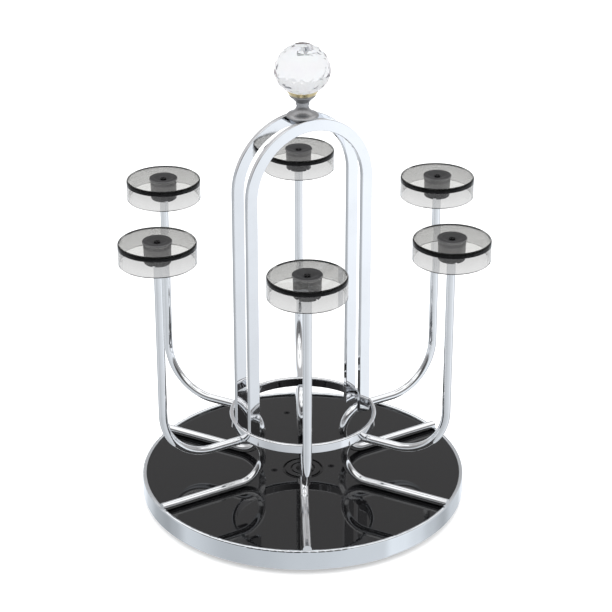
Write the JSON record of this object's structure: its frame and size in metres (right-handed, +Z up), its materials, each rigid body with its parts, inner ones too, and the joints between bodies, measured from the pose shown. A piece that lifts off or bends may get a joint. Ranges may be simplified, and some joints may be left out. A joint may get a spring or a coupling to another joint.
{
  "type": "mug tree",
  "caption": "Rotating stand with a round black tray in a chrome hoop, bent-wire arms that carry clear caps for upturned glasses, and an arched handle with a crystal knob.",
  "frame": {"origin": "on the table plane, under the middle of the tray", "axes": "+Z up the turntable axis to the knob; the arch handle stands in the XZ plane and the first arm points along +X"},
  "size_m": [0.2986, 0.2662, 0.3645],
  "materials": {
    "chrome": "mirror-bright plating",
    "gloss_black": "mirror gloss",
    "board_black": "black-sealed board",
    "pivot_black": "semi-gloss",
    "smoked_clear": "clear smoke-tinted, polished",
    "hub_black": "satin moulded",
    "dark_steel": "blackened",
    "satin_metal": "satin",
    "gilt": "gilt",
    "crystal": "cut and polished",
    "zinc_steel": "zinc plated",
    "cage_plastic": "natural nylon",
    "rubber_black": "matte"
  },
  "bodies": {
    "foot": {"rubber_feet": "rubber_black", "foot_disc": "zinc_steel", "lower_race": "zinc_steel", "race_rivets": "zinc_steel", "bearing_balls": "zinc_steel", "ball_cage": "cage_plastic", "pivot_pin": "zinc_steel", "pivot_nut": "zinc_steel"},
    "carousel": {"base_hoop": "chrome", "middle_ring": "chrome", "arch_front": "chrome", "arch_rear": "chrome", "bridge_plate": "chrome", "arm_1": "chrome", "arm_2": "chrome", "arm_3": "chrome", "arm_4": "chrome", "arm_5": "chrome", "arm_6": "chrome", "black_plate": "gloss_black", "tray_board": "board_black", "pivot_cover": "pivot_black", "pivot_plug": "pivot_black", "cap_1": "smoked_clear", "cap_2": "smoked_clear", "cap_3": "smoked_clear", "cap_4": "smoked_clear", "cap_5": "smoked_clear", "cap_6": "smoked_clear", "hub_1": "hub_black", "hub_2": "hub_black", "hub_3": "hub_black", "hub_4": "hub_black", "hub_5": "hub_black", "hub_6": "hub_black", "cap_screws": "dark_steel", "turntable_screws": "dark_steel", "edge_screw": "dark_steel", "knob_stem": "satin_metal", "knob_seat": "gilt", "crystal_ball": "crystal", "upper_race": "zinc_steel", "knob_screw": "zinc_steel"}
  },
  "joints": [
    {"name": "turntable", "type": "hinge", "parent": "foot", "child": "carousel", "pos_m": [0, 0, 0.0065], "axis": [0, 0, 1], "continuous": true}
  ]
}
